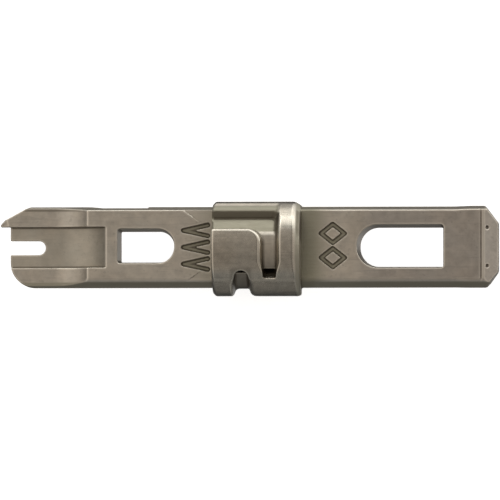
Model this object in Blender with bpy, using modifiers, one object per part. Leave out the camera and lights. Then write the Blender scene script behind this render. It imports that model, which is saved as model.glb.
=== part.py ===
"""Reversible two-ended blade of a punch down tool, with its bayonet collar.

Frame: +X runs from the wire-cutting (fork) end to the plain (clip slot) end, the broad faces
of the bar look along +Z and -Z, and the origin is the middle of the whole blade's box, which
lies on the collar's axis. Everything is in metres.

Two separate solids:
  blade_bar       one flat steel bar, worked at both ends, necked where the collar sits
  bayonet_collar  the round sleeve with two J-shaped bayonet slots
"""
import math

import bmesh
import bpy
from mathutils import Matrix, Vector

MM = 0.001

# ---- the whole blade ----
LENGTH = 70.0 * MM
TIP_X = LENGTH / 2
FIT_GAP = 0.06 * MM              # all round, between the bar's neck and the collar
OVERCUT = 2.0 * MM               # how far a cutter runs past the metal

# ---- bar ----
BAR_WIDTH = 11.44 * MM
BAR_HALF_THICK = 2.8 * MM
BAR_MID_Y = 0.2 * MM             # the bar sits a little high in its collar
BAR_TOP = BAR_MID_Y + BAR_WIDTH / 2
BAR_BOTTOM = BAR_MID_Y - BAR_WIDTH / 2
WALL_DRAFT = math.radians(9.0)   # the side walls lean out from each face to the parting line
EDGE_BREAK = 0.33 * MM           # chamfer between a face and a side wall

# ---- wire-cutting end, towards -X ----
CUTTER_CORNER_X = -30.94 * MM    # where the slanted back of the cutter starts
CUTTER_KNEE = (-34.35 * MM, 4.03 * MM)
CUTTER_TIP_Y = 3.12 * MM
FORK_FACE_X = -33.5 * MM
HEEL_RADIUS = 3.5 * MM
FORK_SLOT_WIDTH = 1.95 * MM
FORK_SLOT_MID_Y = 0.16 * MM
FORK_SLOT_END_X = -28.7 * MM
STRIP_HALF_THICK = 1.15 * MM     # cutter strip and guide strip
STRIP_SCOOP_START_X = -27.4 * MM
STRIP_STEP_X = -22.7 * MM
WEB_HALF_THICK = 0.6 * MM        # channel floor between the strips
WEB_SCOOP_START_X = -26.4 * MM
WEB_STEP_X = -20.1 * MM
WEB_TOP = 3.07 * MM
WEB_BOTTOM = -2.68 * MM

# ---- windows: (x from, x to, y from, y to, radius of the round end) ----
CUTTER_WINDOW = (-18.35 * MM, -10.45 * MM, -2.0 * MM, 2.65 * MM, 2.15 * MM)
CLIP_WINDOW = (15.25 * MM, 27.25 * MM, -2.65 * MM, 3.25 * MM, 2.75 * MM)

# ---- clip slot end, towards +X ----
TIP_BEVEL_X = 32.95 * MM         # where the two bevels of the tip start
TIP_HALF_THICK = 1.25 * MM
TIP_CORNER_X = 33.3 * MM
TIP_CORNER_DROP = 2.3 * MM
CLIP_SLOT_HALF_THICK = 0.95 * MM
CLIP_SLOT_Y = (-2.45 * MM, 2.85 * MM)

# ---- collar ----
COLLAR_RADIUS = 6.65 * MM
COLLAR_LEFT_X = -5.13 * MM
COLLAR_RIGHT_X = 7.4 * MM
LEFT_CHAMFER = 0.4 * MM
RIGHT_CHAMFER = (0.8 * MM, 0.75 * MM)    # along X, across the radius
NECK_HALF_WIDTH = 4.4 * MM
NECK_HALF_THICK = 2.5 * MM

# ---- bayonet slots, angles about +X measured from +Z towards +Y ----
SLOT_FLOOR_RADIUS = 5.61 * MM
ENTRY_ANGLES = (27.0, 49.0)      # the straight entry of the first slot
LOCK_TURN_END = -35.6            # where the pin comes to rest
LEG_HALF_WIDTH = 0.93 * MM
LEG_OFFSET = 2.0 * MM            # each turning leg from the collar's turning point
TURN_X = 1.02 * MM
TURN_ANGLE = -35.0               # half a turn about this radius swaps the two slots
SEAT_FLOOR_RADIUS = 4.4 * MM

# ---- fineness of the round shapes ----
ARC_STEP = math.radians(7.5)
COLLAR_SEGMENTS = 72
SEAT_SEGMENTS = 24
SMOOTH_BELOW = math.radians(30.0)

# ---- looks: warm grey satin cast steel, the collar a little brighter and smoother ----
BAR_COLOUR, BAR_ROUGHNESS = (0.36, 0.32, 0.27), 0.42
COLLAR_COLOUR, COLLAR_ROUGHNESS = (0.38, 0.34, 0.29), 0.34


def clear_scene():
    for obj in list(bpy.data.objects):
        bpy.data.objects.remove(obj, do_unlink=True)


def make_collection(name):
    collection = bpy.data.collections.new(name)
    bpy.context.scene.collection.children.link(collection)
    return collection


def arc(centre_x, centre_y, radius, start, end):
    """Points along an arc, both ends included, angles in radians."""
    steps = max(2, math.ceil(abs(end - start) / ARC_STEP))
    angles = [start + (end - start) * i / steps for i in range(steps + 1)]
    return [(centre_x + radius * math.cos(a), centre_y + radius * math.sin(a)) for a in angles]


def extruded(name, outlines, half_depth, collection, placing=None):
    """A closed mesh prism from flat outlines (holes are further outlines), placed by a matrix."""
    curve = bpy.data.curves.new(name, "CURVE")
    curve.dimensions = "2D"
    curve.fill_mode = "BOTH"
    curve.extrude = half_depth
    for outline in outlines:
        spline = curve.splines.new("POLY")
        spline.points.add(len(outline) - 1)
        for point, (x, y) in zip(spline.points, outline):
            point.co = (x, y, 0.0, 1.0)
        spline.use_cyclic_u = True
    drawn = bpy.data.objects.new(name + "_outline", curve)
    collection.objects.link(drawn)
    bpy.context.view_layer.update()
    evaluated = drawn.evaluated_get(bpy.context.evaluated_depsgraph_get())
    mesh = bpy.data.meshes.new_from_object(evaluated)
    bpy.data.objects.remove(drawn, do_unlink=True)
    work = bmesh.new()
    work.from_mesh(mesh)
    bmesh.ops.remove_doubles(work, verts=work.verts, dist=0.001 * MM)
    bmesh.ops.recalc_face_normals(work, faces=work.faces)
    if placing is not None:
        bmesh.ops.transform(work, matrix=placing, verts=work.verts)
    work.to_mesh(mesh)
    work.free()
    solid = bpy.data.objects.new(name, mesh)
    collection.objects.link(solid)
    return solid


def as_cutter(obj):
    obj.hide_render = True
    obj.display_type = "WIRE"
    return obj


def combine(target, cutter, operation):
    """Adds a Boolean modifier that cuts, or keeps only, what the cutter covers."""
    modifier = target.modifiers.new(cutter.name, "BOOLEAN")
    modifier.operation = operation
    modifier.solver = "EXACT"
    modifier.object = as_cutter(cutter)


def steel(name, colour, roughness):
    material = bpy.data.materials.new(name)
    material.use_nodes = True
    shader = material.node_tree.nodes["Principled BSDF"]
    shader.inputs["Base Color"].default_value = (*colour, 1.0)
    shader.inputs["Metallic"].default_value = 1.0
    shader.inputs["Roughness"].default_value = roughness
    return material


def finish_piece(obj, material, collection):
    obj.data.materials.clear()
    obj.data.materials.append(material)
    for holder in obj.users_collection:
        holder.objects.unlink(obj)
    collection.objects.link(obj)


# A flat outline drawn in XY is stood up in XZ (extruded along Y) or in YZ (extruded along X).
ALONG_Y = Matrix(((1, 0, 0, 0), (0, 0, -1, 0), (0, 1, 0, 0), (0, 0, 0, 1)))
ALONG_X = Matrix(((0, 0, 1, 0), (1, 0, 0, 0), (0, 1, 0, 0), (0, 0, 0, 1)))


# ---------------------------------------------------------------- bar

def plan_outline():
    """The bar seen from above, anticlockwise from the cutter's tip, necked inside the collar."""
    neck_left = COLLAR_LEFT_X - FIT_GAP
    neck_right = COLLAR_RIGHT_X + FIT_GAP
    neck_top = BAR_MID_Y + NECK_HALF_WIDTH
    neck_bottom = BAR_MID_Y - NECK_HALF_WIDTH
    heel = arc(FORK_FACE_X + HEEL_RADIUS, BAR_BOTTOM + HEEL_RADIUS, HEEL_RADIUS,
               math.pi, 1.5 * math.pi)
    return [
        (-TIP_X, CUTTER_TIP_Y),
        (FORK_FACE_X, CUTTER_TIP_Y),
        (FORK_FACE_X, FORK_SLOT_MID_Y + FORK_SLOT_WIDTH / 2),
        *reversed(arc(FORK_SLOT_END_X - FORK_SLOT_WIDTH / 2, FORK_SLOT_MID_Y,
                      FORK_SLOT_WIDTH / 2, -math.pi / 2, math.pi / 2)),
        (FORK_FACE_X, FORK_SLOT_MID_Y - FORK_SLOT_WIDTH / 2),
        *heel,
        (neck_left, BAR_BOTTOM),
        (neck_left, neck_bottom),
        (neck_right, neck_bottom),
        (neck_right, BAR_BOTTOM),
        (TIP_CORNER_X, BAR_BOTTOM),
        (TIP_X, BAR_BOTTOM + TIP_CORNER_DROP),
        (TIP_X, BAR_TOP - TIP_CORNER_DROP),
        (TIP_CORNER_X, BAR_TOP),
        (neck_right, BAR_TOP),
        (neck_right, neck_top),
        (neck_left, neck_top),
        (neck_left, BAR_TOP),
        (CUTTER_CORNER_X, BAR_TOP),
        CUTTER_KNEE,
    ]


def window_outline(window, round_end):
    """A window with one round end: round_end is +1 towards +X and -1 towards -X."""
    x_from, x_to, y_from, y_to, radius = window
    right = [
        *arc(x_to - radius, y_from + radius, radius, -math.pi / 2, 0.0),
        *arc(x_to - radius, y_to - radius, radius, 0.0, math.pi / 2),
    ]
    if round_end > 0:
        return [(x_from, y_from), *right, (x_from, y_to)]
    left = [
        *arc(x_from + radius, y_to - radius, radius, math.pi / 2, math.pi),
        *arc(x_from + radius, y_from + radius, radius, math.pi, 1.5 * math.pi),
    ]
    return [(x_to, y_from), (x_to, y_to), *left]


def scoop(start_x, end_x, low, high):
    """The arc of a milling cutter run-out: level at start_x, reaching the face at end_x."""
    run, rise = end_x - start_x, high - low
    radius = (run * run + rise * rise) / (2 * rise)
    return arc(start_x, low + radius, radius, -math.pi / 2, math.asin(run / radius) - math.pi / 2)


def side_outline():
    """The bar seen from its edge: thin strips, scoops, the thinner neck and the tip bevels."""
    neck_left = COLLAR_LEFT_X - FIT_GAP
    neck_right = COLLAR_RIGHT_X + FIT_GAP
    upper = [
        (-TIP_X - OVERCUT, STRIP_HALF_THICK),
        *scoop(STRIP_SCOOP_START_X, STRIP_STEP_X, STRIP_HALF_THICK, BAR_HALF_THICK),
        (neck_left, BAR_HALF_THICK),
        (neck_left, NECK_HALF_THICK),
        (neck_right, NECK_HALF_THICK),
        (neck_right, BAR_HALF_THICK),
        (TIP_BEVEL_X, BAR_HALF_THICK),
        (TIP_X, TIP_HALF_THICK),
        (TIP_X + OVERCUT, TIP_HALF_THICK),
    ]
    lower = [(x, -z) for x, z in upper]
    return lower + upper[::-1]


def section_outline():
    """The bar's cross-section: two flat faces and drafted side walls with broken edges."""
    break_z = BAR_HALF_THICK - EDGE_BREAK
    wall_inset = break_z * math.tan(WALL_DRAFT)
    face_inset = BAR_HALF_THICK * math.tan(WALL_DRAFT) + EDGE_BREAK
    upper_right = [
        (BAR_TOP, 0.0),
        (BAR_TOP - wall_inset, break_z),
        (BAR_TOP - face_inset, BAR_HALF_THICK),
    ]
    upper = upper_right + [(2 * BAR_MID_Y - y, z) for y, z in reversed(upper_right)]
    lower = [(y, -z) for y, z in reversed(upper[1:-1])]
    return upper + lower


def channel_outline(side):
    """The space above one face of the web, seen from the edge; side is +1 or -1."""
    floor = [
        (-TIP_X - OVERCUT, WEB_HALF_THICK),
        *scoop(WEB_SCOOP_START_X, WEB_STEP_X, WEB_HALF_THICK, BAR_HALF_THICK),
    ]
    roof_z = BAR_HALF_THICK + OVERCUT
    outline = [*floor, (WEB_STEP_X, roof_z), (-TIP_X - OVERCUT, roof_z)]
    return [(x, side * z) for x, z in outline]


def box_outline(x_from, x_to, y_from, y_to):
    return [(x_from, y_from), (x_to, y_from), (x_to, y_to), (x_from, y_to)]


def build_bar(cutters):
    bar = extruded(
        "blade_bar",
        [plan_outline(), window_outline(CUTTER_WINDOW, +1), window_outline(CLIP_WINDOW, -1)],
        BAR_HALF_THICK + OVERCUT,
        cutters,
    )
    side = extruded("side_shape", [side_outline()], BAR_WIDTH, cutters, ALONG_Y)
    section = extruded("section_shape", [section_outline()], TIP_X + OVERCUT, cutters, ALONG_X)
    combine(bar, side, "INTERSECT")
    combine(bar, section, "INTERSECT")

    web_mid = (WEB_TOP + WEB_BOTTOM) / 2
    web_half = (WEB_TOP - WEB_BOTTOM) / 2
    for side_sign, name in ((1, "channel_upper"), (-1, "channel_lower")):
        placing = Matrix.Translation(Vector((0.0, web_mid, 0.0))) @ ALONG_Y
        combine(bar, extruded(name, [channel_outline(side_sign)], web_half, cutters, placing),
                "DIFFERENCE")

    slot = box_outline(CLIP_WINDOW[1] - OVERCUT, TIP_X + OVERCUT, *CLIP_SLOT_Y)
    combine(bar, extruded("clip_slot", [slot], CLIP_SLOT_HALF_THICK, cutters), "DIFFERENCE")
    return bar


# ---------------------------------------------------------------- collar

def collar_profile():
    """(x, radius) down the outer side of the sleeve, from its left end to its right end."""
    along, across = RIGHT_CHAMFER
    return [
        (COLLAR_LEFT_X, 0.0),
        (COLLAR_LEFT_X, COLLAR_RADIUS - LEFT_CHAMFER),
        (COLLAR_LEFT_X + LEFT_CHAMFER, COLLAR_RADIUS),
        (COLLAR_RIGHT_X - along, COLLAR_RADIUS),
        (COLLAR_RIGHT_X, COLLAR_RADIUS - across),
        (COLLAR_RIGHT_X, 0.0),
    ]


def turned(name, profile, collection, steps):
    """A solid turned about X. The profile is drawn as (radius, height) for a Screw modifier."""
    mesh = bpy.data.meshes.new(name)
    work = bmesh.new()
    # The blade's +X is the screw's axis laid down, so its left end is the top of the profile.
    points = [work.verts.new((radius, 0.0, -x)) for x, radius in profile]
    for first, second in zip(points, points[1:]):
        work.edges.new((first, second))
    work.to_mesh(mesh)
    work.free()
    obj = bpy.data.objects.new(name, mesh)
    obj.rotation_euler = (0.0, -math.pi / 2, 0.0)
    collection.objects.link(obj)
    screw = obj.modifiers.new("turn", "SCREW")
    screw.axis = "Z"
    screw.angle = 2 * math.pi
    screw.steps = steps
    screw.render_steps = steps
    screw.use_merge_vertices = True
    screw.merge_threshold = 0.001 * MM
    return obj


def sector_outline(start, end, r_in, r_out):
    """A ring sector in (y, z), angles in degrees from +Z towards +Y."""
    first = math.radians(90.0 - end)
    last = math.radians(90.0 - start)
    return [*arc(0.0, 0.0, r_out, first, last), *reversed(arc(0.0, 0.0, r_in, first, last))]


def half_turned(x, angle):
    """Where a point of the first slot lies on the second, half a turn about the turning point."""
    return 2 * TURN_X - x, 2 * TURN_ANGLE - angle


def slot_cutters(label, entry_x, leg_x, entry, lock_angle, cutters):
    """The straight entry, the turning leg and the deep seat of one J-shaped slot."""
    r_out = COLLAR_RADIUS + OVERCUT
    near, far = sorted((entry_x, leg_x + math.copysign(LEG_HALF_WIDTH, leg_x - entry_x)))
    shift = Matrix.Translation(Vector(((near + far) / 2, 0.0, 0.0)))
    entry_cut = extruded("entry_" + label, [sector_outline(*sorted(entry), SLOT_FLOOR_RADIUS, r_out)],
                         (far - near) / 2, cutters, shift @ ALONG_X)
    leg = sorted((lock_angle, sum(entry) / 2))
    leg_cut = extruded("leg_" + label, [sector_outline(*leg, SLOT_FLOOR_RADIUS, r_out)],
                       LEG_HALF_WIDTH, cutters,
                       Matrix.Translation(Vector((leg_x, 0.0, 0.0))) @ ALONG_X)
    mesh = bpy.data.meshes.new("seat_" + label)
    work = bmesh.new()
    depth = r_out - SEAT_FLOOR_RADIUS
    bmesh.ops.create_cone(work, cap_ends=True, segments=SEAT_SEGMENTS,
                          radius1=LEG_HALF_WIDTH, radius2=LEG_HALF_WIDTH, depth=depth)
    work.to_mesh(mesh)
    work.free()
    seat = bpy.data.objects.new("seat_" + label, mesh)
    lean = Matrix.Rotation(-math.radians(lock_angle), 4, "X")
    seat.matrix_world = (Matrix.Translation(Vector((leg_x, 0.0, 0.0))) @ lean
                         @ Matrix.Translation(Vector((0.0, 0.0, SEAT_FLOOR_RADIUS + depth / 2))))
    cutters.objects.link(seat)
    return entry_cut, leg_cut, seat


def build_collar(cutters):
    collar = turned("bayonet_collar", collar_profile(), cutters, COLLAR_SEGMENTS)
    pocket_outline = box_outline(
        BAR_MID_Y - NECK_HALF_WIDTH - FIT_GAP, BAR_MID_Y + NECK_HALF_WIDTH + FIT_GAP,
        -NECK_HALF_THICK - FIT_GAP, NECK_HALF_THICK + FIT_GAP,
    )
    pocket = extruded("neck_pocket", [pocket_outline], LENGTH, cutters, ALONG_X)
    combine(collar, pocket, "DIFFERENCE")

    first_leg = TURN_X + LEG_OFFSET
    second_leg, second_lock = half_turned(first_leg, LOCK_TURN_END)
    second_entry = tuple(half_turned(first_leg, angle)[1] for angle in ENTRY_ANGLES)
    slots = (
        slot_cutters("left", COLLAR_LEFT_X - OVERCUT, first_leg, ENTRY_ANGLES, LOCK_TURN_END,
                     cutters)
        + slot_cutters("right", COLLAR_RIGHT_X + OVERCUT, second_leg, second_entry, second_lock,
                       cutters)
    )
    for cutter in slots:
        combine(collar, cutter, "DIFFERENCE")
    return collar


def main():
    clear_scene()
    parts = make_collection("punch_down_blade")
    cutters = make_collection("cutters")
    bar = build_bar(cutters)
    collar = build_collar(cutters)
    finish_piece(bar, steel("bar_steel", BAR_COLOUR, BAR_ROUGHNESS), parts)
    finish_piece(collar, steel("collar_steel", COLLAR_COLOUR, COLLAR_ROUGHNESS), parts)
    collar.data.shade_smooth()
    collar.data.set_sharp_from_angle(angle=SMOOTH_BELOW)


main()
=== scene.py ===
"""Looks of the reversible punch down blade: a cast steel bar and its bayonet collar.

Both pieces are drawn as distance fields (how far a point is from the metal, negative inside),
because then every cut, scoop, slot and engraved mark gets its own true edge rounding. A grid
walk turns each field into a closed mesh whose points are then slid exactly onto the surface.

Fields work in millimetres in the frame's axes: +X towards the clip-slot end, +Y across the
width, +Z out of the marked broad face.
"""
import math

import bpy
import numpy as np
from mathutils import Matrix, Vector


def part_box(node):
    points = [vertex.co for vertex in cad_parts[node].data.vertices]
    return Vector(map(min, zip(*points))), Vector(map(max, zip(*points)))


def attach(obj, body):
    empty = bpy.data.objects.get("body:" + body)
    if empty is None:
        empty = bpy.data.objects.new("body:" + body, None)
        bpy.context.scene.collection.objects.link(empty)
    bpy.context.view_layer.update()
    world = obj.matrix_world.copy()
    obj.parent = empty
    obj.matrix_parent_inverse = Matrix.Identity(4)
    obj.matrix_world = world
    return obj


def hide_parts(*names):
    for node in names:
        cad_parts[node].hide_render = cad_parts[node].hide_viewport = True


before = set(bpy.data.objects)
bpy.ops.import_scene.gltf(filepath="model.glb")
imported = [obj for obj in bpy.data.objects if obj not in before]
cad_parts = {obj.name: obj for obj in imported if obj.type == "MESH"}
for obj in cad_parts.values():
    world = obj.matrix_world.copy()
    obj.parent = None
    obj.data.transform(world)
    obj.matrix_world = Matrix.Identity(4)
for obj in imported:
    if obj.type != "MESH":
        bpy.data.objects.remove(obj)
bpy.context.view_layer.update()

MM = 0.001


def in_mm(corner):
    return [float(value) / MM for value in corner]


BAR_LOW, BAR_HIGH = (in_mm(corner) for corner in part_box("blade_bar"))
COLLAR_LOW, COLLAR_HIGH = (in_mm(corner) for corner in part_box("bayonet_collar"))

# ---- bar ----
BAR_MID_Y = (BAR_LOW[1] + BAR_HIGH[1]) / 2
BAR_HALF_WIDTH = (BAR_HIGH[1] - BAR_LOW[1]) / 2
BAR_HALF_THICK = BAR_HIGH[2]
TIP_X = BAR_HIGH[0]
WALL_DRAFT = math.radians(11.1)        # the side walls lean out from each face to the parting line
LONG_EDGE_ROUNDS = (0.14, 0.45)        # the crisp top edge, the worn near edge
NEAR_BEVEL = (0.95, math.radians(22.0), 0.12)  # how far in it starts, its lean, its blend
EDGE_ROUND = 0.13
ROUNDS = {                             # edge rounding of each smaller feature, on both pieces
    "dip": 0.08, "strip": 0.1, "facet": 0.03, "web": 0.1, "web corner": 0.12, "fork slot": 0.12,
    "tip bevel": 0.12, "clip slot": 0.12, "clip slot corner": 0.2, "scribe": 0.05, "pit": 0.05,
    "relief": 0.04, "mark": 0.07, "collar bevel": 0.08, "collar left": 0.12, "cone": 0.18,
    "collar rear": 0.16, "pin seat": 0.1, "pin seat wall": 0.12,
}
TOP_RELIEF = (-22.9, -14.3, 0.17)      # from, to, depth of the shallow dip in the top edge
TOP_RELIEF_RUN = 2.2                   # it starts gently over this length and ends at a step
CLEAR = 0.1                            # how far off the metal that start lies

# ---- wire-cutting end ----
CUTTER_CORNER = (-30.96, BAR_HIGH[1])
CUTTER_KNEE = (-34.4, 4.04)
CUTTER_TIP = (BAR_LOW[0], 3.4)
CUTTER_EDGE_Y = 3.08
FORK_FACE_X = -33.65
HEEL_RADIUS = 3.7
FORK_SLOT_Y = 0.16
FORK_SLOT_RADIUS = 0.975
FORK_SLOT_END_X = -28.7
STRIP_HALF_THICK = 1.15
STRIP_SCOOP = (-27.4, -22.7)           # level until the first x, at the face at the second
WEB_HALF_THICK = 0.6
WEB_SCOOP = (-26.6, -20.1)
WEB_Y = (-2.68, 3.07)
PRONG_TAPER = (-29.4, 0.045)           # where the prongs start to thin, and how fast
GROUND_LINE = ((-33.85, 3.1), (-34.15, 4.3))  # where the ground tip facet leaves the strip
GROUND_SLOPE = math.radians(22.0)
GROUND_LOW_Y = CUTTER_EDGE_Y - 0.05    # the facet stays above this

# ---- windows: x from, x to, y from, y to, radius of the round end ----
CUTTER_WINDOW = (-18.35, -10.64, -1.93, 2.65, 2.2)
CLIP_WINDOW = (15.3, 27.2, -2.6, 3.16, 2.8)
WINDOW_DRAFT = 0.15                    # each wall leans this far out and in at the two faces
WINDOW_CORNER = 0.25

# ---- clip-slot end ----
BEVEL_X = 33.0
TIP_HALF_THICK = 1.25
TIP_CORNER = (33.25, 2.3)              # where the corner cuts start, and how far down they go
TIP_CORNER_SHIFT = 0.09                # both cuts sit this much nearer to the near edge
TIP_SWELL, TIP_SWELL_X = 0.09, (28.5, 31.5)
CLIP_SLOT_Y = (-2.45, 2.85)
CLIP_SLOT_HALF = 0.95
CLIP_SLOT_START_X = CLIP_WINDOW[1] - 1.0
SCRIBE_X = 32.62
SCRIBE_RADIUS, SCRIBE_LIFT = 0.14, 0.04  # its middle line lies this far above the face
PITS = ((33.5, 2.88), (33.5, -2.5))
PIT_RADIUS = 0.27

# ---- marks: three chevrons that point at the cutting end, two diamonds at the other ----
MARK_HALF_WIDTH = 0.33
MARK_DEPTH = 0.3
FAR_OFF = 9.0
CHEVRONS_X = (-9.2, -5.75)
CHEVRONS_Y = (2.5, 0.15, -2.2)
CHEVRON_HALF_HEIGHT = 0.75
DIAMONDS_X = (10.15, 13.45)
DIAMONDS_Y = (2.05, -1.35)
DIAMOND_HALF_HEIGHT = 1.3

# ---- collar ----
COLLAR_RADIUS = COLLAR_HIGH[1]
COLLAR_LEFT_X, COLLAR_RIGHT_X = COLLAR_LOW[0], COLLAR_HIGH[0]
COLLAR_EDGES = (0.16, 0.42)            # the left end's bevel: on the broad faces, on the sides
COLLAR_EDGE_Y = (4.0, 6.2)             # it grows from the one to the other between these
REAR_CONE = (1.0, 0.62)                # along X, across the radius
REAR_CONE_SWELL = 0.3                  # how much fuller the cone is at the near edge
REAR_CONE_SWELL_Y = (0.2, 0.95)        # where the swell grows, as shares of the radius
REAR_FACE_INSET = 0.1
REAR_FILLET, REAR_FILLET_REACH = 0.25, 0.9
BURIED = 0.03                          # how far the fillet's root lies under the bar's face
RELIEF_LINE = ((-7.1, 3.6), (-9.1, 5.0))  # the bar's shoulders are eased beyond this line
RELIEF_Y, RELIEF_END_X = 3.3, COLLAR_LEFT_X + 0.5
RELIEF_SLOPES = (math.radians(2.2), math.radians(4.5))  # at the top edge, at the near edge

# ---- bayonet slots, angles about +X in degrees from +Z towards +Y ----
SLOT_FLOOR = 5.61
SLOT_FLOOR_FILLET = 0.22
ENTRY_ANGLES = (24.9, 49.0)
ENTRY_DROP = (17.0, 28.0, 0.14)        # the floor falls between these angles to the entry's level
LOCK_END = -40.6
LEG_X = (2.11, 3.92)
TURN_X, TURN_ANGLE = 1.02, -35.0       # the second slot is the first turned half round this point
# corners of the first and the second slot: at the pad, the entry's far wall and the lock end
SLOT_CORNERS = ((2.0, 0.75, 0.4), (1.4, 1.25, 0.9))
SLOT_FLARE = (0.36, 0.45, 0.6)         # how the walls lean out: the leg's two, the far wall
SLOT_EDGE, OUTER_EDGE, CRISP_EDGE = 0.5, 0.26, 0.1  # rounding: pad side, outer wall, lock end
OPENING_ANGLES = (-37.0, -16.0)        # the leg's walls start to lean and round off between these
CRISP_ANGLES = (40.0, 46.0)            # between these the rounding ends, before the far wall
SEAT_FLOOR, SEAT_START, SEAT_INSET = 4.4, -31.6, 0.04

# ---- rough cast skin and painted shade on the collar ----
# Skin is left where no cutter or chuck has touched. Four numbers are a band: where it starts, is
# full, fades and ends. Two are a rise or a fall. Angles and x are as each slot sees them.
RAW_ENTRY = (23.5, 25.0, 65.5, 67.5)
RAW_LEG_X = (3.9, 4.5)
RAW_POCKET = (-44.0, -42.0, -34.0, -26.0)
RAW_REAR, RAW_REAR_X = 0.75, (COLLAR_RIGHT_X - 0.9, COLLAR_RIGHT_X - 0.6)
RAW_BELOW, SHADE_BELOW = (0.2, 0.5), (0.03, 0.3)  # how far under the sleeve's surface
SUNK_ANGLES, SKIN_DEPTH = (42.0, 47.0, 66.5, 75.0), 0.17
IN_LEG_X = (LEG_X[0] - 0.3, LEG_X[0], LEG_X[1], LEG_X[1] + 0.3)
ROUND_LEG_X = (LEG_X[0] - 0.9, LEG_X[0] - 0.2, LEG_X[1] + 0.25, LEG_X[1] + 1.0)
# painted shade in the slots, where shade falls: far walls, outer walls, pin seats and legs
FAR_WALL_SHADE = (47.0, 49.5, 53.5, 57.5)
OUTER_WALL_X = (LEG_X[1] - 0.1, LEG_X[1] + 0.1)
OUTER_WALL_SHADE = ((8.0, 22.0), (-44.0, -36.0))  # angles where it starts, for each slot
SEAT_SHADE, SEAT_SHADE_ANGLES = 1.5, (-43.0, -42.0, SEAT_START, SEAT_START + 1.5)
NEAR_SEAT_SHADE, NEAR_SEAT_ANGLES = 0.7, (-43.0, -42.0, -32.0, -8.0)
LEG_SHADE, RIM_SHADE = (0.0, 0.85), (0.0, 0.5)     # along the leg and round it, for each slot
LEG_SHADE_ANGLES = (-48.0, -42.0, 22.0, 45.0)

# ---- rough cast skin, painted shade and a darker cutting tip on the bar ----
DARK_BAND_BEHIND_X = (COLLAR_RIGHT_X + 1.2, COLLAR_RIGHT_X + 4.8)
RAW_AHEAD, RAW_AHEAD_X = 0.5, (COLLAR_LEFT_X - 4.5, COLLAR_LEFT_X - 0.3)
RAW_WEB, WEB_FADE = 0.3, 0.1
RAW_MARK, RAW_MARK_Z = (-0.05, 0.1), (1.0, 2.0)  # distances inside a mark's outline, heights
RAW_MARK_BELOW = (0.03, 0.12)
RAW_TOP_WALL, RAW_TOP_Y = 0.4, (BAR_HALF_WIDTH - 0.55, BAR_HALF_WIDTH - 0.4)
RAW_NEAR_WALL, NEAR_WALL_FADE = 0.85, 0.25
# painted shade on the marks' walls, the top wall and the ground facet; a painted shadow at the
# web's end
MARK_WALL_SHADE, MARK_SHADE_REACH = 0.55, (-0.03, 0.06)
MARK_SHADE_Z = (BAR_HALF_THICK - MARK_DEPTH, BAR_HALF_THICK - 0.12)
TOP_WALL_SHADE, TOP_WALL_FADE = 0.95, 0.14
TOP_WALL_INSETS = (0.75, 0.5)                    # where it starts: on the fork and the clip half
WEB_END_SHADOW, WEB_END_X = 0.45, (-22.6, -20.4)
FACET_SHADE, FACET_FADE = 0.4, 0.12
# the cutting tip and its edge are darkened
TIP_DARKENING, TIP_DARK_X = 1.1, (34.4, 34.7)        # distances towards -X
EDGE_DARK_X, EDGE_DARK_Y = (33.7, 33.9), (3.16, 3.34)
CUTTER_FROM_Y = CUTTER_EDGE_Y - 0.1

# ---- steel ----
BAR_STEEL = (0.54, 0.5, 0.425)
BAR_FINISH = (0.42, 0.0, 0.35)         # roughness, how much less where rubbed, texture
COLLAR_STEEL = (0.47, 0.435, 0.365)
COLLAR_FINISH = (0.36, 0.11, 0.251)
RUBBED_BELOW = (0.1, 0.02)             # depths under the sleeve: rubbing starts, is full
EDGE_BEND, HOLLOW_BEND = (0.12, 0.7), (-0.08, -0.7)  # bends that count as an edge, a hollow
EDGE_WEAR, HOLLOW_SHADE_SHARE, SHADE_AND_TIP_SHARE = 0.6, 0.6, 0.6  # how much of each colour shows there
DARK, LIGHT, WORN, SPECK = 0.9, 1.08, 1.35, 0.72  # shades of the steel
BLOTCH = (1.03, 1.0, 0.97, 1.0)        # the faint warm tint of the largest blotches
CAST_SKIN = (0.345, 0.325, 0.25)
# the colour of the painted shade, also laid on the darker cutting tip
SHADE_TINT = (0.075, 0.06, 0.042)
RAW_ROUGHER = 0.22
PEBBLES, BUMP_HEIGHT = 2.5, 0.02       # how much the cast skin adds to the texture, its scale
CLIP_END_SHADE_X, CLIP_END_SHADE = (13.5, 19.0), (0.8, 0.79, 0.81)  # painted shade: the clip end's colour is darkened to stand in for its dimmer reflections

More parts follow.
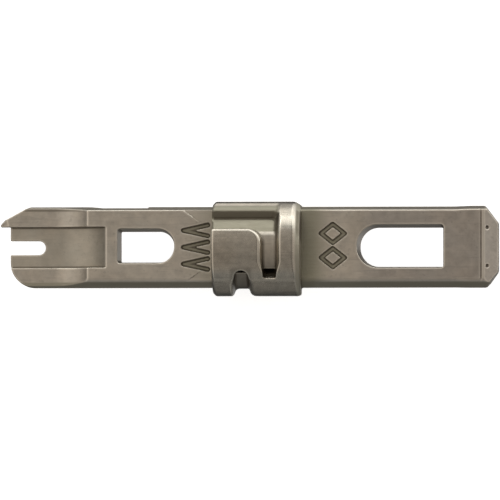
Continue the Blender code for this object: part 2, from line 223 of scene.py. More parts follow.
# ---- studio: how bright it is at each angle, in degrees, and its tint ----
CAMERA_AIM = (0.014, -0.145)
CAMERA_YAW, CAMERA_PITCH = math.radians(3.2), math.radians(2.0)
CAMERA_DISTANCE = 2.8                  # metres
VIEW_WIDTH = 70.23                     # what the picture's width shows at the blade
FLOOR_SIZE = 6.0                       # metres
FLOOR_TONES, FLOOR_ROUGHNESS, FLOOR_GLOW = (0.93, 0.95), 0.9, 0.75
WORLD_STRENGTH = 4.3
SOFTBOX_PLACE = (0.0, 0.49, -0.087)    # metres
SOFTBOX_SIZE = (0.25, 1.0)             # over the angles, along the blade
SOFTBOX_POWER = 0.45
WARM, PLAIN = (1.08, 1.0, 0.935), (1.0, 1.0, 1.0)
ROUND_THE_BLADE = (                    # from straight up (0) towards the top edge (90)
    (-180, 0.3, PLAIN), (-170, 0.26, PLAIN), (-160, 0.07, PLAIN), (-148, 0.07, PLAIN),
    (-125, 0.19, PLAIN), (-98, 0.25, PLAIN), (-86, 0.125, PLAIN), (-76, 0.09, PLAIN),
    (-64, 0.132, PLAIN), (-50, 0.157, WARM),
    (-25, 0.14, WARM), (-8, 0.165, WARM), (5, 0.18, WARM), (25, 0.205, WARM), (45, 0.24, WARM),
    (52, 0.27, PLAIN), (58, 0.36, PLAIN), (65, 0.7, PLAIN), (90, 0.85, PLAIN),
    (115, 0.85, PLAIN), (129, 0.65, PLAIN), (139, 0.42, PLAIN), (149, 0.16, PLAIN),
    (158, 0.05, PLAIN), (172, 0.05, PLAIN), (180, 0.3, PLAIN),
)
ALONG_THE_BLADE = (                    # from straight up (0) towards the clip end (90)
    (-180, 0.21, PLAIN), (-95, 0.15, PLAIN), (-78, 0.1, PLAIN), (-67, 0.42, PLAIN),
    (-53, 0.85, PLAIN), (-34, 1.0, PLAIN), (-17, 0.92, PLAIN), (-4, 0.4, PLAIN),
    (8, 0.28, PLAIN), (19, 0.25, PLAIN), (31, 0.72, PLAIN), (50, 0.72, PLAIN), (62, 0.4, PLAIN),
    (79, 1.0, PLAIN), (92, 0.25, PLAIN), (140, 0.3, PLAIN), (172, 0.5, PLAIN),
    (180, 0.21, PLAIN),
)

# ---- meshing ----
BAR_STEP = 0.13
COLLAR_STEP = 0.085
BLOCK = 8
STEEPEST = 1.7                         # the most that a field rises per millimetre
CHUNK = 150_000
NUDGE = 0.01
SETTLE_PASSES = 4
MOVE_LIMIT, DRIFT_LIMIT = 0.4, 0.7     # in grid steps: each pass, and all passes together
FLATTEST = 0.05                        # the least squared slope that a point settles by
TINY = 1e-9
BEND_REACH, BEND_LIMIT = 0.25, 1.5
FILLET_ROOM = 1.2                      # how far past its box the collar's fillet may be meshed


# ------------------------------------------------------------ distance fields

def inside_both(a, b, radius=0.0):
    """Inside a and inside b, the edge between them rounded to the radius."""
    if np.isscalar(radius) and radius == 0.0:
        return np.maximum(a, b)
    corner = np.hypot(np.maximum(a + radius, 0.0), np.maximum(b + radius, 0.0))
    return np.minimum(np.maximum(a, b), -radius) + corner


def inside_either(a, b, radius=0.0):
    """Inside a or b, the inner corner between them filled to the radius."""
    return -inside_both(-a, -b, radius)


def cut(solid, tool, radius=EDGE_ROUND):
    return inside_both(solid, -tool, radius)


def between(value, low, high):
    return np.maximum(low - value, value - high)


def rise(value, start, end):
    """0 before start, 1 past end, easing in between."""
    share = np.clip((value - start) / (end - start), 0.0, 1.0)
    return share * share * (3 - 2 * share)


def band(value, start, full, fading, end):
    """0 outside start and end, 1 from full to fading."""
    return rise(value, start, full) * (1 - rise(value, fading, end))


def beyond_line(x, y, start, end):
    """Distance to the left of the line from start to end."""
    dx, dy = end[0] - start[0], end[1] - start[1]
    return ((y - start[1]) * dx - (x - start[0]) * dy) / math.hypot(dx, dy)


def near_segment(x, y, start, end):
    """Distance to the straight piece from start to end."""
    dx, dy = end[0] - start[0], end[1] - start[1]
    along = np.clip(((x - start[0]) * dx + (y - start[1]) * dy) / (dx * dx + dy * dy), 0.0, 1.0)
    return np.hypot(x - start[0] - along * dx, y - start[1] - along * dy)


def cutter_wheel(x, height, scoop, floor):
    """A milling wheel run in from the -X end: level, then climbing an arc to the bar's face."""
    start, end = scoop
    run, climb = end - start, BAR_HALF_THICK - floor
    radius = (run * run + climb * climb) / (2 * climb)
    return np.hypot(np.maximum(x - start, 0.0), height - floor - radius) - radius


def bar_section(y, z, swell=0.0):
    """The cross-section: two flat faces and drafted side walls that meet at the parting line."""
    across, height = np.abs(y - BAR_MID_Y), np.abs(z)
    wall = (across - BAR_HALF_WIDTH - swell) * math.cos(WALL_DRAFT) + height * math.sin(WALL_DRAFT)
    inset, lean, blend = NEAR_BEVEL
    bevel = (across - BAR_HALF_WIDTH - swell + inset) * math.cos(lean)
    bevel = bevel + (height - BAR_HALF_THICK) * math.sin(lean)
    wall = np.where(y > BAR_MID_Y, wall, inside_both(wall, bevel, blend))
    return inside_both(wall, height - BAR_HALF_THICK, np.where(y > BAR_MID_Y, *LONG_EDGE_ROUNDS))


def bar_plan(x, y):
    """The bar's ends seen from above; its long edges come from the cross-section."""
    fork = inside_both(FORK_FACE_X - x, BAR_LOW[1] - y, HEEL_RADIUS)
    ends = np.minimum(fork, CUTTER_EDGE_Y - y)
    ends = inside_both(ends, -beyond_line(x, y, CUTTER_CORNER, CUTTER_KNEE))
    ends = inside_both(ends, -beyond_line(x, y, CUTTER_KNEE, CUTTER_TIP))
    corner_x, drop = TIP_CORNER
    mirrored = np.abs(y - BAR_MID_Y + TIP_CORNER_SHIFT)
    corner = beyond_line(x, mirrored, (TIP_X, BAR_HALF_WIDTH - drop), (corner_x, BAR_HALF_WIDTH))
    ends = inside_both(ends, -corner, EDGE_ROUND)
    ends = inside_both(ends, BAR_LOW[0] - x)
    return inside_both(ends, x - TIP_X, EDGE_ROUND)


def window(x, y, z, shape, round_end):
    """A through window with a square end and a round end, its walls leaning a little."""
    x_from, x_to, y_from, y_to, radius = shape
    tall = between(y, y_from, y_to)
    square, rounded = (x_from - x, x - x_to) if round_end > 0 else (x - x_to, x_from - x)
    shape_2d = inside_both(tall, rounded, radius)
    return inside_both(shape_2d, square, WINDOW_CORNER) - WINDOW_DRAFT * z / BAR_HALF_THICK


def marks(x, y):
    """Distance to the middle lines of the engraved marks."""
    near = np.full_like(x, FAR_OFF)
    left, right = CHEVRONS_X
    for row in CHEVRONS_Y:
        for side in (-1, 1):
            end = (right, row + side * CHEVRON_HALF_HEIGHT)
            near = np.minimum(near, near_segment(x, y, (left, row), end))
    left, right = DIAMONDS_X
    middle = (left + right) / 2
    for row in DIAMONDS_Y:
        corners = [(left, row), (middle, row + DIAMOND_HALF_HEIGHT),
                   (right, row), (middle, row - DIAMOND_HALF_HEIGHT)]
        for start, end in zip(corners, corners[1:] + corners[:1]):
            near = np.minimum(near, near_segment(x, y, start, end))
    return near


def bar_field(x, y, z):
    height = np.abs(z)
    swell = TIP_SWELL * rise(x, *TIP_SWELL_X)
    solid = inside_both(bar_section(y, z, swell), bar_plan(x, y), EDGE_ROUND)

    dip_from, dip_to, depth = TOP_RELIEF
    lead_in = np.clip((x - dip_from) / TOP_RELIEF_RUN, 0.0, 1.0)
    dip = np.maximum(BAR_HIGH[1] + CLEAR - (CLEAR + depth) * lead_in - y, x - dip_to)
    solid = cut(solid, dip, ROUNDS["dip"])

    strips = cutter_wheel(x, height, STRIP_SCOOP, STRIP_HALF_THICK)
    solid = cut(solid, strips, ROUNDS["strip"])
    ground = beyond_line(x, y, *GROUND_LINE)
    facet = ground * math.sin(GROUND_SLOPE) + (height - STRIP_HALF_THICK) * math.cos(GROUND_SLOPE)
    solid = cut(solid, np.maximum(-facet, GROUND_LOW_Y - y), ROUNDS["facet"])

    taper_x, taper = PRONG_TAPER
    web = cutter_wheel(x, height, WEB_SCOOP, WEB_HALF_THICK)
    thinned = np.maximum(WEB_HALF_THICK + taper * (x - taper_x) - height, x - taper_x)
    web = inside_both(np.minimum(web, thinned), between(y, *WEB_Y), ROUNDS["web corner"])
    solid = cut(solid, web, ROUNDS["web"])

    slot_end = np.maximum(x - (FORK_SLOT_END_X - FORK_SLOT_RADIUS), 0.0)
    fork_slot = np.hypot(slot_end, y - FORK_SLOT_Y) - FORK_SLOT_RADIUS
    solid = cut(solid, fork_slot, ROUNDS["fork slot"])

    solid = cut(solid, window(x, y, z, CUTTER_WINDOW, +1))
    solid = cut(solid, window(x, y, z, CLIP_WINDOW, -1))

    run, fall = TIP_X - BEVEL_X, BAR_HALF_THICK - TIP_HALF_THICK
    bevel = ((x - BEVEL_X) * fall + (height - BAR_HALF_THICK) * run) / math.hypot(run, fall)
    solid = inside_both(solid, bevel, ROUNDS["tip bevel"])
    slot = height - CLIP_SLOT_HALF
    slot = inside_both(between(y, *CLIP_SLOT_Y), slot, ROUNDS["clip slot corner"])
    slot = inside_both(slot, CLIP_SLOT_START_X - x)
    solid = cut(solid, slot, ROUNDS["clip slot"])
    scribe = np.hypot(x - SCRIBE_X, height - BAR_HALF_THICK - SCRIBE_LIFT) - SCRIBE_RADIUS
    solid = cut(solid, scribe, ROUNDS["scribe"])
    for pit_x, pit_y in PITS:
        pit_z = BAR_HALF_THICK - (pit_x - BEVEL_X) * fall / run
        pit = np.sqrt((x - pit_x) ** 2 + (y - pit_y) ** 2 + (height - pit_z) ** 2) - PIT_RADIUS
        solid = cut(solid, pit, ROUNDS["pit"])

    across = np.abs(y - BAR_MID_Y)
    fall_away = np.where(y > BAR_MID_Y, *RELIEF_SLOPES)
    ease = (across - RELIEF_Y) * np.sin(fall_away)
    ease = ease + (height - BAR_HALF_THICK) * np.cos(fall_away)
    beyond = np.maximum(beyond_line(x, across, *RELIEF_LINE), x - RELIEF_END_X)
    solid = cut(solid, np.maximum(-ease, beyond), ROUNDS["relief"])

    engraved = np.maximum(marks(x, y) - MARK_HALF_WIDTH, BAR_HALF_THICK - MARK_DEPTH - z)
    return cut(solid, engraved, ROUNDS["mark"])


def slot_cuts(x, angle, radius, corners):
    """One J-shaped slot: how far its space, its deep pin seat and its edge rounding reach."""
    around = np.radians(angle) * COLLAR_RADIUS
    near_wall, far_wall = (math.radians(a) * COLLAR_RADIUS for a in ENTRY_ANGLES)
    lock = math.radians(LOCK_END) * COLLAR_RADIUS
    open_share = rise(angle, *OPENING_ANGLES)
    pad_corner, far_corner, lock_corner = corners
    pad_flare, outer_flare, far_flare = SLOT_FLARE
    height = radius - SLOT_FLOOR

    pad_wall = LEG_X[0] - x - pad_flare * open_share * height
    past_pad = inside_either(near_wall - around, pad_wall, pad_corner)
    outer = inside_both(x - LEG_X[1] - outer_flare * open_share * height,
                        around - far_wall - far_flare * height, far_corner)
    plan = inside_both(inside_both(outer, past_pad), lock - around, lock_corner)
    seat = around - math.radians(SEAT_START) * COLLAR_RADIUS
    seat = inside_both(plan, seat, ROUNDS["pin seat wall"]) + SEAT_INSET

    start, end, drop = ENTRY_DROP
    floor = SLOT_FLOOR - drop * rise(angle, start, end)
    space = inside_both(plan, floor - radius, SLOT_FLOOR_FILLET)
    open_edge = SLOT_EDGE + (OUTER_EDGE - SLOT_EDGE) * rise(x, *LEG_X)
    softened = open_share * (1 - rise(angle, *CRISP_ANGLES))
    edge = CRISP_EDGE + (open_edge - CRISP_EDGE) * softened
    return space, np.maximum(seat, SEAT_FLOOR - radius), edge


def slot_frames(x, angle):
    """The same point as each of the two slots sees it: x and angle."""
    turned = (2 * TURN_ANGLE - angle + 180.0) % 360.0 - 180.0
    return (x, angle), (2 * TURN_X - x, turned)


def sunk_skin(x, angle):
    """The band past each entry's far wall, where the cast skin lies under the turned sleeve."""
    sunk = np.zeros_like(x)
    for slot_x, slot_angle in slot_frames(x, angle):
        zone = band(slot_angle, *SUNK_ANGLES)
        sunk = np.maximum(sunk, zone * (1 - rise(slot_x, *RAW_LEG_X)))
    return sunk


def collar_field(x, y, z):
    radius = np.hypot(y, z)
    angle = np.degrees(np.arctan2(y, z))
    sleeve = radius - COLLAR_RADIUS + SKIN_DEPTH * sunk_skin(x, angle)
    on_faces, on_sides = COLLAR_EDGES
    bevel = on_faces + (on_sides - on_faces) * rise(np.abs(y), *COLLAR_EDGE_Y)
    left_cone = (COLLAR_LEFT_X - x + radius - (COLLAR_RADIUS - bevel)) / math.sqrt(2)
    along, across = REAR_CONE
    outward = REAR_CONE_SWELL * rise(-y / COLLAR_RADIUS, *REAR_CONE_SWELL_Y)
    cone = (x - (COLLAR_RIGHT_X - along)) * across + (radius - COLLAR_RADIUS) * along
    cone = cone / math.hypot(along, across) - outward
    left_end = inside_both(left_cone, COLLAR_LEFT_X - x, ROUNDS["collar bevel"])
    solid = inside_both(sleeve, left_end, ROUNDS["collar left"])
    solid = inside_both(solid, cone, ROUNDS["cone"])
    solid = inside_both(solid, x - COLLAR_RIGHT_X + REAR_FACE_INSET, ROUNDS["collar rear"])

    under_fillet = between(x, 0.0, COLLAR_RIGHT_X + REAR_FILLET_REACH)
    root = np.maximum(bar_section(y, z) + BURIED, under_fillet)
    solid = inside_either(solid, root, REAR_FILLET)

    for (slot_x, slot_angle), corners in zip(slot_frames(x, angle), SLOT_CORNERS):
        space, seat, edge = slot_cuts(slot_x, slot_angle, radius, corners)
        solid = cut(cut(solid, space, edge), seat, ROUNDS["pin seat"])
    return solid


def collar_raw(x, y, z):
    """Where the collar keeps its cast skin: rear end, slots' entries, lock ends and far walls."""
    raw = RAW_REAR * rise(x, *RAW_REAR_X)
    deep = rise(COLLAR_RADIUS - np.hypot(y, z), *RAW_BELOW)
    for slot_x, slot_angle in slot_frames(x, np.degrees(np.arctan2(y, z))):
        entry = band(slot_angle, *RAW_ENTRY) * (1 - rise(slot_x, *RAW_LEG_X))
        pocket = band(slot_angle, *RAW_POCKET) * band(slot_x, *IN_LEG_X) * deep
        raw = np.maximum(raw, np.maximum(entry, pocket))
    return raw


def collar_painted_shade(x, y, z):
    """Painted shade in the slots: far walls, outer walls, pin seats, and all round the second leg.
    """
    painted_shade_and_dark_tip = np.zeros_like(x)
    deep = rise(COLLAR_RADIUS - np.hypot(y, z), *SHADE_BELOW)
    frames = slot_frames(x, np.degrees(np.arctan2(y, z)))
    amounts = zip(frames, OUTER_WALL_SHADE, LEG_SHADE, RIM_SHADE)
    for (slot_x, slot_angle), shaded_from, leg_shade, rim_shade in amounts:
        # painted shade on each slot's far wall and outer wall
        far_wall = band(slot_angle, *FAR_WALL_SHADE) * (1 - rise(slot_x, *RAW_LEG_X))
        outer_wall = rise(slot_x, *OUTER_WALL_X) * deep
        outer_wall = outer_wall * band(slot_angle, *shaded_from, *FAR_WALL_SHADE[2:])
        painted_shade_and_dark_tip = np.maximum(painted_shade_and_dark_tip, np.maximum(far_wall, outer_wall))

        # painted shade in the pin seat, near it, and along and round the leg
        in_leg = band(slot_x, *IN_LEG_X) * deep
        seat = SEAT_SHADE * band(slot_angle, *SEAT_SHADE_ANGLES)
        near_seat = NEAR_SEAT_SHADE * band(slot_angle, *NEAR_SEAT_ANGLES)
        painted_shade_and_dark_tip = np.maximum(painted_shade_and_dark_tip, np.maximum(seat, near_seat) * in_leg)

        leg = np.maximum(leg_shade * in_leg, rim_shade * band(slot_x, *ROUND_LEG_X))
        painted_shade_and_dark_tip = np.maximum(painted_shade_and_dark_tip, leg * band(slot_angle, *LEG_SHADE_ANGLES))
    return painted_shade_and_dark_tip * (x > COLLAR_LEFT_X) * (x < COLLAR_RIGHT_X)


def in_web(x, y):
    """1 on the thin forked web between the strips."""
    return (x < WEB_SCOOP[1]) * rise(-between(y, *WEB_Y), 0.0, WEB_FADE)


def bar_painted_shade_and_dark_tip(x, y, z):
    """Painted shade on the marks' walls, the top wall and the ground facet, a painted shadow at
    the web's end, and a darker cutting tip.
    """
    # painted shade and a painted shadow, laid by the masks below
    walls = rise(MARK_HALF_WIDTH - marks(x, y), *MARK_SHADE_REACH) * rise(z, *MARK_SHADE_Z)
    wall_from = BAR_HALF_WIDTH - np.where(x < 0.0, *TOP_WALL_INSETS)
    top_wall = rise(y - BAR_MID_Y, wall_from, wall_from + TOP_WALL_FADE)
    web_end = rise(x, *WEB_END_X) * in_web(x, y)
    on_cutter = y > CUTTER_FROM_Y
    facet = rise(beyond_line(x, y, *GROUND_LINE), 0.0, FACET_FADE) * on_cutter
    # the cutting tip and its edge are darkened
    cutting_edge = rise(-x, *EDGE_DARK_X) * (1 - rise(y, *EDGE_DARK_Y))
    dark_tip = np.maximum(rise(-x, *TIP_DARK_X), cutting_edge) * on_cutter
    return np.maximum.reduce([MARK_WALL_SHADE * walls, TOP_WALL_SHADE * top_wall, FACET_SHADE * facet,
                              WEB_END_SHADOW * web_end, TIP_DARKENING * dark_tip])


def bar_raw(x, y, z):
    """Where the bar keeps its cast skin: web, side walls and engraved marks; darker and rougher
    beside the collar.
    """
    # a darker, rougher band just behind the collar's rear, fading away from it
    behind = (1 - rise(x, *DARK_BAND_BEHIND_X)) * (x > COLLAR_RIGHT_X - 1.0)
    ahead = rise(x, *RAW_AHEAD_X) * (x < 0.0)
    engraved = rise(MARK_HALF_WIDTH - marks(x, y), *RAW_MARK) * rise(z, *RAW_MARK_Z)
    engraved = engraved * rise(BAR_HALF_THICK - z, *RAW_MARK_BELOW)
    top_wall = rise(y - BAR_MID_Y, *RAW_TOP_Y)
    bevel_from = BAR_HALF_WIDTH - NEAR_BEVEL[0]
    near_wall = rise(BAR_MID_Y - y, bevel_from, bevel_from + NEAR_WALL_FADE)
    return np.maximum.reduce([behind, RAW_AHEAD * ahead, RAW_WEB * in_web(x, y), engraved,
                              RAW_TOP_WALL * top_wall, RAW_NEAR_WALL * near_wall])


# ------------------------------------------------------------ field to mesh

def sample(field, points):
    """The field at many points, in chunks that stay in the processor's cache."""
    values = np.empty(len(points))
    for start in range(0, len(points), CHUNK):
        part = points[start:start + CHUNK]
        values[start:start + CHUNK] = field(part[:, 0], part[:, 1], part[:, 2])
    return values


def slope(field, points, here):
    """The field's gradient, by a small step along each axis."""
    columns = [(sample(field, points + NUDGE * axis) - here) / NUDGE for axis in np.eye(3)]
    return np.stack(columns, axis=1)


def field_grid(field, low, high, step):
    """The field on a regular grid. Blocks that the surface can't cross get only their sign."""
    blocks = np.ceil((high - low) / (step * BLOCK)).astype(int) + 1
    starts = np.stack(np.meshgrid(*map(np.arange, blocks), indexing="ij"), -1).reshape(-1, 3)
    starts = starts * BLOCK
    middles = sample(field, low + (starts + (BLOCK - 1) / 2) * step)
    reach = STEEPEST * math.sqrt(3) * BLOCK * step / 2
    grid = np.empty((len(starts), BLOCK ** 3), np.float32)
    grid[:] = np.sign(middles)[:, None]
    crossed = np.flatnonzero(np.abs(middles) < reach)
    cell = np.stack(np.meshgrid(*[np.arange(BLOCK)] * 3, indexing="ij"), -1).reshape(-1, 3)
    points = (low + (starts[crossed][:, None, :] + cell[None]) * step).reshape(-1, 3)
    grid[crossed] = sample(field, points).reshape(len(crossed), -1)
    grid = grid.reshape(*blocks, BLOCK, BLOCK, BLOCK).transpose(0, 3, 1, 4, 2, 5)
    return grid.reshape(blocks * BLOCK)


def surface_nets(field, low, high, step):
    """One point in each grid cell that the surface crosses, and a quad round each crossed edge."""
    low, high = np.array(low) - 2 * step, np.array(high) + 2 * step
    grid = field_grid(field, low, high, step)
    inside = grid < 0
    corners = [(i, j, k) for i in (0, 1) for j in (0, 1) for k in (0, 1)]
    count = sum(
        inside[i:inside.shape[0] - 1 + i, j:inside.shape[1] - 1 + j, k:inside.shape[2] - 1 + k]
        .astype(np.uint8)
        for i, j, k in corners
    )
    crossed = (count > 0) & (count < 8)
    number = np.full(crossed.shape, -1, np.int32)
    cells = np.argwhere(crossed)
    number[crossed] = np.arange(len(cells))

    at_corner = [grid[tuple((cells + corner).T)] for corner in corners]
    total, crossings = np.zeros((len(cells), 3)), np.zeros(len(cells))
    for a, first in enumerate(corners):
        for b, second in enumerate(corners):
            if a < b and sum(abs(p - q) for p, q in zip(first, second)) == 1:
                differ = (at_corner[a] < 0) != (at_corner[b] < 0)
                span = np.where(differ, at_corner[a] - at_corner[b], 1.0)
                share = np.where(differ, at_corner[a] / span, 0.0)
                meet = np.array(first) + share[:, None] * (np.array(second) - np.array(first))
                total += np.where(differ[:, None], meet, 0.0)
                crossings += differ
    points = low + (cells + total / crossings[:, None]) * step

    quads = []
    for axis in range(3):
        u, v = (axis + 1) % 3, (axis + 2) % 3
        before = [slice(1, None)] * 3
        after = [slice(1, None)] * 3
        before[axis], after[axis] = slice(0, -1), slice(1, None)
        starts_in, ends_in = inside[tuple(before)], inside[tuple(after)]
        edges = np.argwhere(starts_in != ends_in)
        outward = starts_in[tuple(edges.T)]
        offset = np.ones(3, int)
        offset[axis] = 0
        edges = edges + offset
        ring = []
        for du, dv in ((1, 1), (0, 1), (0, 0), (1, 0)):
            cell = edges.copy()
            cell[:, u] -= du
            cell[:, v] -= dv
            ring.append(number[tuple(cell.T)])
        ring = np.stack(ring, axis=1)
        ring[~outward] = ring[~outward, ::-1]
        quads.append(ring)
    return points, np.concatenate(quads)


def settle(field, points, step):
    """Slides the points along the field's slope onto the surface; returns them and the normals."""
    start = points.copy()
    for _ in range(SETTLE_PASSES):
        here = sample(field, points)
        gradient = slope(field, points, here)
        steep = np.maximum((gradient ** 2).sum(1), FLATTEST)
        move = -here[:, None] * gradient / steep[:, None]
        length = np.linalg.norm(move, axis=1)
        move *= np.minimum(1.0, MOVE_LIMIT * step / np.maximum(length, TINY))[:, None]
        points = np.clip(points + move, start - DRIFT_LIMIT * step, start + DRIFT_LIMIT * step)
    gradient = slope(field, points, sample(field, points))
    return points, gradient / np.maximum(np.linalg.norm(gradient, axis=1), TINY)[:, None]


def bend_at(field, points, reach):
    """How sharply the surface bends over a reach: above 0 on an outer edge, below in a corner."""
    here = sample(field, points)
    total = -6.0 * here
    for axis in np.eye(3):
        total += sample(field, points + reach * axis) + sample(field, points - reach * axis)
    return np.clip(total / reach, -BEND_LIMIT, BEND_LIMIT)


def keep(mesh, name, values):
    """Stores one value for each point, for the material to read."""
    data = mesh.attributes.new(name, "FLOAT", "POINT").data
    data.foreach_set("value", values.astype(np.float32))


def make_piece(name, field, raw, painted_shade_and_dark_tip, low, high, step, material):
    """The field's surface as a smooth quad mesh that keeps its bend, skin, painted shade with the
    darker tip, and the clip end's painted shade.
    """
    points, quads = surface_nets(field, low, high, step)
    points, normals = settle(field, points, step)
    mesh = bpy.data.meshes.new(name)
    mesh.vertices.add(len(points))
    mesh.vertices.foreach_set("co", (points * MM).ravel())
    mesh.loops.add(quads.size)
    mesh.loops.foreach_set("vertex_index", quads.ravel())
    mesh.polygons.add(len(quads))
    mesh.polygons.foreach_set("loop_start", np.arange(len(quads)) * 4)
    mesh.update(calc_edges=True)
    mesh.validate()
    mesh.shade_smooth()
    mesh.normals_split_custom_set_from_vertices(normals)
    keep(mesh, "bend", bend_at(field, points, BEND_REACH))
    keep(mesh, "raw", raw(*points.T))
    # painted shade and the darker tip, kept for the material
    keep(mesh, "painted_shade_and_dark_tip", painted_shade_and_dark_tip(*points.T))
    # the clip end's painted shade, kept for the material
    keep(mesh, "clip_end_shade", rise(points[:, 0], *CLIP_END_SHADE_X))
    mesh.materials.append(material)
    piece = bpy.data.objects.new(name, mesh)
    bpy.context.scene.collection.objects.link(piece)
    return piece


# ------------------------------------------------------------ materials

class Graph:
    """A small helper that adds and wires shader nodes."""

    def __init__(self, owner):
        owner.use_nodes = True
        self.owner = owner
        self.nodes = owner.node_tree.nodes
        self.links = owner.node_tree.links

    def wire(self, source, target):
        self.links.new(source, target)

    def node(self, kind, inputs=(), **settings):
        node = self.nodes.new(kind)
        for key, value in settings.items():
            setattr(node, key, value)
        for key, value in dict(inputs).items():
            if isinstance(value, bpy.types.NodeSocket):
                self.wire(value, node.inputs[key])
            else:
                node.inputs[key].default_value = value
        return node

    def place(self, stretch=(1.0, 1.0, 1.0)):
        """Object coordinates in millimetres, stretched."""
        place = self.node("ShaderNodeTexCoord").outputs["Object"]
        scale = tuple(value / MM for value in stretch)
        return self.node("ShaderNodeMapping", {"Vector": place, "Scale": scale}).outputs["Vector"]

    def noise(self, scale, detail=3.0, stretch=(1.0, 1.0, 1.0), roughness=0.55):
        inputs = {"Vector": self.place(stretch), "Scale": scale, "Detail": detail,
                  "Roughness": roughness}
        return self.node("ShaderNodeTexNoise", inputs).outputs["Fac"]

    def span(self, value, low, high, to_low=0.0, to_high=1.0):
        inputs = {"Value": value, "From Min": low, "From Max": high,
                  "To Min": to_low, "To Max": to_high}
        return self.node("ShaderNodeMapRange", inputs).outputs["Result"]

    def math(self, operation, first, second=0.0):
        return self.node("ShaderNodeMath", {0: first, 1: second}, operation=operation).outputs[0]

    def blend(self, share, first, second, mode="MIX"):
        node = self.node("ShaderNodeMix", data_type="RGBA", blend_type=mode)
        for index, value in ((0, share), (6, first), (7, second)):
            if isinstance(value, bpy.types.NodeSocket):
                self.wire(value, node.inputs[index])
            else:
                node.inputs[index].default_value = value
        return node.outputs[2]


def shade(colour, level):
    return (*[min(1.0, level * part) for part in colour], 1.0)


def steel(name, colour, finish):
    """Satin cast steel, rubbed smooth by the chuck where the finish says so."""
    rough, polish, texture = finish
    graph = Graph(bpy.data.materials.new(name))
    shader = graph.nodes["Principled BSDF"]
    shader.inputs["Metallic"].default_value = 1.0

    cloud = graph.noise(0.9, 6.0, roughness=0.62)
    grain = graph.noise(7.0, 3.0)
    streaks = graph.noise(2.6, 2.0, (0.12, 1.6, 1.6))
    bend, raw, clip_end_shade, painted_shade_and_dark_tip = (
        graph.node("ShaderNodeAttribute", attribute_name=kept).outputs["Fac"]
        for kept in ("bend", "raw", "clip_end_shade", "painted_shade_and_dark_tip")
    )
    edge = graph.span(bend, *EDGE_BEND)
    hollow = graph.span(bend, *HOLLOW_BEND)
    smooth = graph.math("SUBTRACT", 1.0, raw)

    dark = shade(colour, DARK)
    tone = graph.blend(graph.span(cloud, 0.34, 0.66), dark, shade(colour, LIGHT))
    tone = graph.blend(graph.span(grain, 0.6, 0.75, 0.0, 0.25), tone, dark)
    blotches = graph.span(graph.noise(0.22, 2.0), 0.35, 0.65)
    tone = graph.blend(blotches, tone, BLOTCH, "MULTIPLY")
    specks = graph.span(graph.noise(1.7, 2.0), 0.63, 0.7, 0.0, 0.5)
    scratches = graph.span(graph.noise(1.8, 2.0, (0.12, 2.2, 2.2)), 0.6, 0.68, 0.0, 0.4)
    tone = graph.blend(graph.math("MAXIMUM", specks, scratches), tone, shade(colour, SPECK))
    # painted shade: the clip end is darkened
    tone = graph.blend(clip_end_shade, tone, (*CLIP_END_SHADE, 1.0), "MULTIPLY")
    tone = graph.blend(raw, tone, (*CAST_SKIN, 1.0))
    # painted shade: hollows and inner corners are darkened
    tone = graph.blend(graph.math("MULTIPLY", hollow, HOLLOW_SHADE_SHARE), tone, (*SHADE_TINT, 1.0))
    # painted shade, and the darker cutting tip, from the kept values
    tone = graph.blend(graph.math("MULTIPLY", painted_shade_and_dark_tip, SHADE_AND_TIP_SHARE), tone, (*SHADE_TINT, 1.0))
    wear = graph.math("MULTIPLY", graph.math("MULTIPLY", edge, EDGE_WEAR), smooth)
    tone = graph.blend(wear, tone, shade(colour, WORN))
    graph.wire(tone, shader.inputs["Base Color"])

    roughness = graph.span(cloud, 0.35, 0.65, rough - 0.03, rough + 0.03)
    roughness = graph.math("ADD", roughness, graph.span(streaks, 0.4, 0.7, -0.03, 0.04))
    roughness = graph.math("ADD", roughness, graph.math("MULTIPLY", hollow, 0.18))
    roughness = graph.math("SUBTRACT", roughness, graph.math("MULTIPLY", edge, 0.06))
    if polish:
        place = graph.node("ShaderNodeSeparateXYZ", {"Vector": graph.place((0.0, 1.0, 1.0))})
        across = graph.math("MULTIPLY", place.outputs["Y"], place.outputs["Y"])
        upward = graph.math("MULTIPLY", place.outputs["Z"], place.outputs["Z"])
        radius = graph.math("SQRT", graph.math("ADD", across, upward))
        rubbed = graph.span(radius, *(COLLAR_RADIUS - depth for depth in RUBBED_BELOW))
        roughness = graph.math("SUBTRACT", roughness, graph.math("MULTIPLY", rubbed, polish))
    roughness = graph.math("ADD", roughness, graph.math("MULTIPLY", raw, RAW_ROUGHER))
    graph.wire(roughness, shader.inputs["Roughness"])

    fine = graph.math("MULTIPLY", graph.noise(14.0, 3.0), 0.5)
    skin = graph.math("ADD", graph.noise(2.2, 5.0), fine)
    skin = graph.math("ADD", skin, graph.math("MULTIPLY", streaks, 0.35))
    pebbles = graph.math("MULTIPLY", graph.noise(4.0, 3.0), raw)
    skin = graph.math("ADD", skin, graph.math("MULTIPLY", pebbles, PEBBLES))
    inputs = {"Height": skin, "Strength": texture, "Distance": BUMP_HEIGHT * MM}
    bump = graph.node("ShaderNodeBump", inputs)
    graph.wire(bump.outputs["Normal"], shader.inputs["Normal"])
    return graph.owner


def floor_material():
    graph = Graph(bpy.data.materials.new("pale_floor"))
    shader = graph.nodes["Principled BSDF"]
    tones = ((level, level, level, 1.0) for level in FLOOR_TONES)
    graph.wire(graph.blend(graph.noise(0.01, 2.0), *tones), shader.inputs["Base Color"])
    shader.inputs["Roughness"].default_value = FLOOR_ROUGHNESS
    shader.inputs["Specular IOR Level"].default_value = 0.0
    shader.inputs["Emission Color"].default_value = (1.0, 1.0, 1.0, 1.0)
    shader.inputs["Emission Strength"].default_value = FLOOR_GLOW
    return graph.owner


# ------------------------------------------------------------ studio

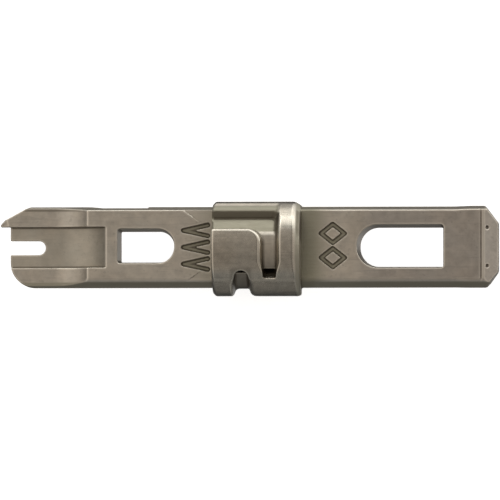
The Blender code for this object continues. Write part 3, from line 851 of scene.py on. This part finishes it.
def make_camera():
    """Looks down on the marked face from a little towards the clip end and the near edge."""
    aim = Vector((*CAMERA_AIM, 0.0)) * MM
    data = bpy.data.cameras.new("camera")
    data.sensor_width = 36.0
    data.lens = data.sensor_width * CAMERA_DISTANCE / (VIEW_WIDTH * MM)
    data.clip_start, data.clip_end = 0.1, 20.0
    camera = bpy.data.objects.new("camera", data)
    back = Vector((math.tan(CAMERA_YAW), -math.tan(CAMERA_PITCH), 1.0)).normalized()
    right = Vector((0.0, 1.0, 0.0)).cross(back).normalized()
    turn = Matrix((right, back.cross(right), back)).transposed()
    camera.matrix_world = Matrix.Translation(aim + CAMERA_DISTANCE * back) @ turn.to_4x4()
    bpy.context.scene.collection.objects.link(camera)
    bpy.context.scene.camera = camera


def make_light(name, place, size, power):
    data = bpy.data.lights.new(name, "AREA")
    data.shape = "RECTANGLE"
    data.size, data.size_y = size
    data.energy = power
    light = bpy.data.objects.new(name, data)
    light.location = place
    light.visible_camera = False
    light.rotation_euler = Vector(place).to_track_quat("Z", "X").to_euler()
    bpy.context.scene.collection.objects.link(light)


def angle_ramp(graph, first, second, stops):
    """A colour that follows the angle of a direction, in degrees from second towards first."""
    turn = graph.math("ARCTAN2", first, second)
    share = graph.span(turn, -math.pi, math.pi)
    ramp = graph.node("ShaderNodeValToRGB", {"Fac": share})
    elements = ramp.color_ramp.elements
    for degrees, _, _ in stops[1:-1]:
        elements.new((degrees + 180.0) / 360.0)
    for element, (_, level, tint) in zip(elements, stops):
        element.color = (*[level * part for part in tint], 1.0)
    return ramp.outputs["Color"]


def make_world():
    """A grey studio round the blade: bright over the top edge, darkening below the near edge."""
    world = bpy.data.worlds.new("studio")
    world.use_nodes = True
    bpy.context.scene.world = world
    graph = Graph(world)
    place = graph.node("ShaderNodeTexCoord").outputs["Generated"]
    split = graph.node("ShaderNodeSeparateXYZ", {"Vector": place}).outputs
    around = angle_ramp(graph, split["Y"], split["Z"], ROUND_THE_BLADE)
    along = angle_ramp(graph, split["X"], split["Z"], ALONG_THE_BLADE)
    light = graph.blend(1.0, around, along, "MULTIPLY")
    graph.wire(light, graph.nodes["Background"].inputs["Color"])
    graph.nodes["Background"].inputs["Strength"].default_value = WORLD_STRENGTH


def make_floor():
    bpy.ops.mesh.primitive_plane_add(size=FLOOR_SIZE, location=(0.0, 0.0, COLLAR_LOW[2] * MM))
    floor = bpy.context.object
    floor.name = "floor"
    floor.data.materials.append(floor_material())
    floor.visible_glossy = False
    floor.visible_shadow = False


def main():
    bpy.context.scene.view_settings.view_transform = "Standard"
    make_camera()
    make_world()
    make_floor()
    make_light("top_softbox", SOFTBOX_PLACE, SOFTBOX_SIZE, SOFTBOX_POWER)

    bar = make_piece("cast_bar", bar_field, bar_raw, bar_painted_shade_and_dark_tip, BAR_LOW, BAR_HIGH, BAR_STEP,
                     steel("bar_cast_steel", BAR_STEEL, BAR_FINISH))
    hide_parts("blade_bar")
    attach(bar, "root")
    with_fillet = (COLLAR_HIGH[0] + FILLET_ROOM, *COLLAR_HIGH[1:])
    collar = make_piece("slotted_collar", collar_field, collar_raw, collar_painted_shade,
                        COLLAR_LOW, with_fillet, COLLAR_STEP,
                        steel("collar_cast_steel", COLLAR_STEEL, COLLAR_FINISH))
    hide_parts("bayonet_collar")
    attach(collar, "root")


main()
